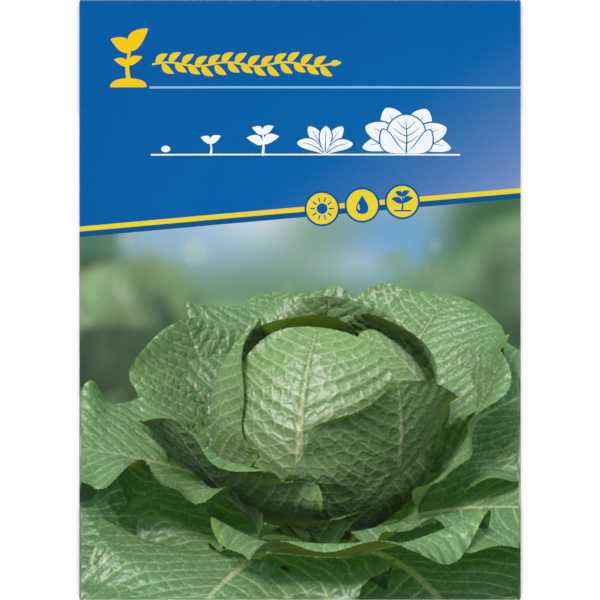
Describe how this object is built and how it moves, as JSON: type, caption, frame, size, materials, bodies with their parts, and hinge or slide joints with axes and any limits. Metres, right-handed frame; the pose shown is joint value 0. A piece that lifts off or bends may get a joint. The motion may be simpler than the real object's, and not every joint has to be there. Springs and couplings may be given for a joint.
{
  "type": "seed packet",
  "caption": "Flat rectangular seed packet: a printed, folded and glued paper envelope around a heat-sealed foil sachet of vegetable seeds.",
  "frame": {"origin": "middle of the packet's outline, on the surface it lies on", "axes": "the packet lies on its back: +Z out of the printed front, +Y towards the closed top edge, +X to the right as the front is read"},
  "size_m": [0.1178, 0.16, 0.0044],
  "materials": {
    "printed_paper": "satin",
    "adhesive": "satin",
    "foil_film": "satin",
    "seed_husk": "satin"
  },
  "bodies": {
    "root": {"packet_sheet": "printed_paper", "back_seam_glue": "adhesive", "top_flap_glue": "adhesive", "bottom_flap_glue": "adhesive", "sachet_front_film": "foil_film", "sachet_back_film": "foil_film", "seed_01": "seed_husk", "seed_02": "seed_husk", "seed_03": "seed_husk", "seed_04": "seed_husk", "seed_05": "seed_husk", "seed_06": "seed_husk", "seed_07": "seed_husk", "seed_08": "seed_husk", "seed_09": "seed_husk", "seed_10": "seed_husk", "seed_11": "seed_husk", "seed_12": "seed_husk", "seed_13": "seed_husk", "seed_14": "seed_husk", "seed_15": "seed_husk", "seed_16": "seed_husk", "seed_17": "seed_husk", "seed_18": "seed_husk", "seed_19": "seed_husk", "seed_20": "seed_husk"}
  },
  "joints": []
}
